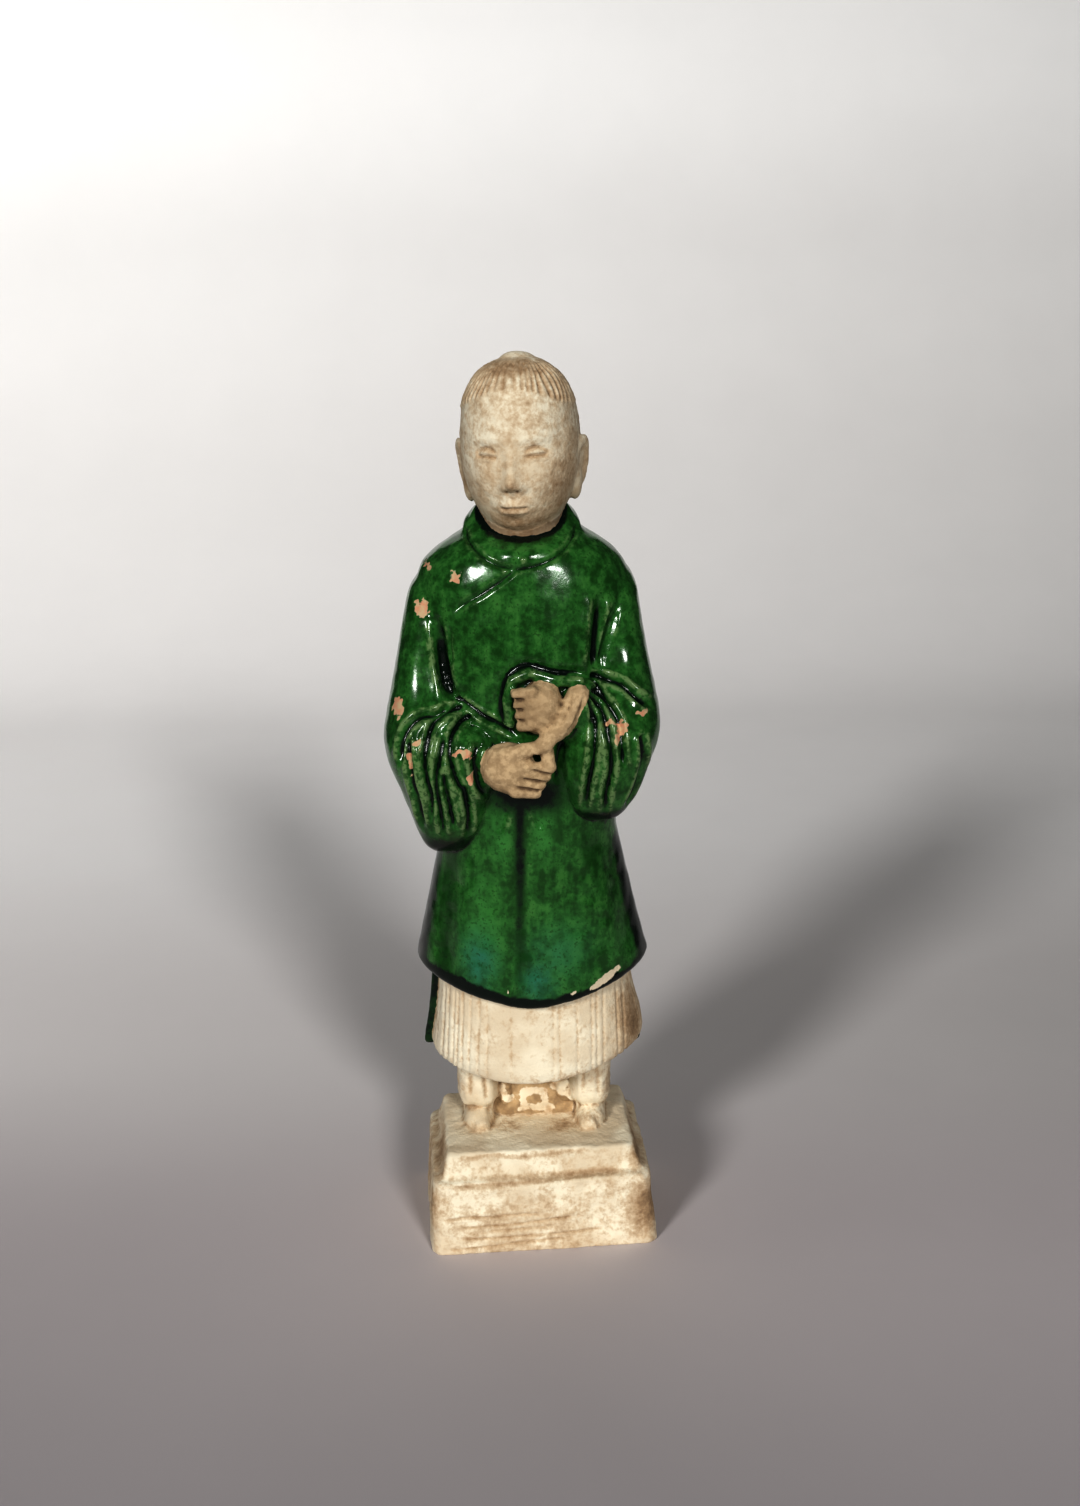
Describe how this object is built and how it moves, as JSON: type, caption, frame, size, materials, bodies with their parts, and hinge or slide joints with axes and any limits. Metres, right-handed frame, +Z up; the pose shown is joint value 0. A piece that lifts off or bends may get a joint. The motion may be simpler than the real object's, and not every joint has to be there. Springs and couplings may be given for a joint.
{
  "type": "terracotta tomb figure",
  "caption": "Standing tomb attendant in a long green glazed robe, hands held before the waist, over a pleated skirt, moulded in one piece with a stepped unglazed plinth.",
  "frame": {"origin": "on the flat underside of the plinth, below the middle of the figure", "axes": "+Z up, the figure faces -Y, and its left hand side is towards +X"},
  "size_m": [0.066, 0.0467, 0.22],
  "materials": {
    "glazed_terracotta": "glossy mottled green lead glaze on the robe, bare matte clay and cream slip on the head, hands, skirt and plinth"
  },
  "bodies": {
    "root": {"tomb_figure": "glazed_terracotta"}
  },
  "joints": []
}
